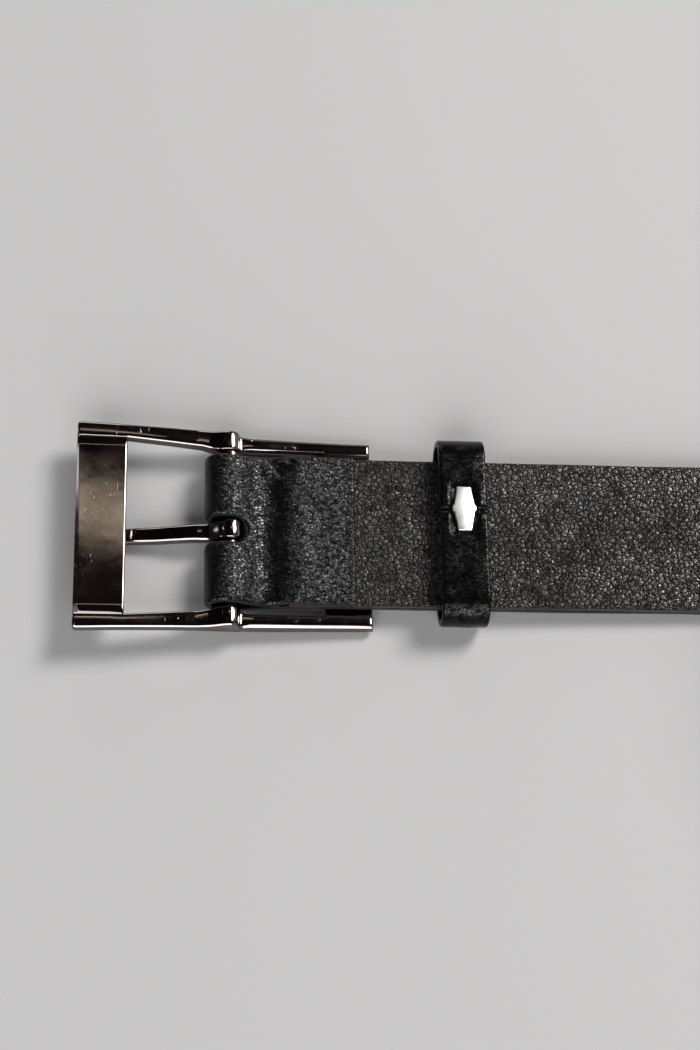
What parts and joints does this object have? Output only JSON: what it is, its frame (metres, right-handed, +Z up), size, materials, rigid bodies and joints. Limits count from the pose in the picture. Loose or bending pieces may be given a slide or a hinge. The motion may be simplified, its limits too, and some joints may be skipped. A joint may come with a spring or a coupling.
{
  "type": "leather belt",
  "caption": "Black leather dress belt lying face down, with a rectangular centre-bar buckle, prong, stapled keeper loop and a tail rolled up for storage.",
  "frame": {"origin": "bottom centre of the whole belt's box, on the surface the belt lies on", "axes": "+Z up, +X from the buckle along the strap to the roll, +Y across the strap; the belt lies face down, so its lining side is up"},
  "size_m": [0.2574, 0.0494, 0.0748],
  "materials": {
    "face_leather": "semi-gloss fine grain",
    "lining_leather": "pebbled, satin",
    "core_board": "black bonded fibre board",
    "keeper_leather": "semi-gloss fine grain",
    "gunmetal": "polished black nickel plate",
    "pin_steel": "black nickel plate",
    "staple_nickel": "bright nickel, lightly brushed"
  },
  "bodies": {
    "strap": {"face_leather": "face_leather", "strap_core": "core_board", "lining_leather": "lining_leather"},
    "buckle": {"buckle_frame": "gunmetal", "centre_pin": "pin_steel"},
    "prong": {"prong": "gunmetal"},
    "keeper": {"keeper_loop": "keeper_leather", "keeper_staple": "staple_nickel"}
  },
  "joints": [
    {"name": "buckle_pivot", "type": "hinge", "parent": "strap", "child": "buckle", "pos_m": [-0.0942, 0, 0.006], "axis": [0, 1, 0], "range_deg": [0, 100]},
    {"name": "prong_pivot", "type": "hinge", "parent": "buckle", "child": "prong", "pos_m": [-0.0942, 0, 0.006], "axis": [0, 1, 0], "range_deg": [-115, 4]},
    {"name": "keeper_slide", "type": "slide", "parent": "strap", "child": "keeper", "axis": [0.9996, 0, -0.03], "range_m": [-0.0135, 0.06]}
  ]
}
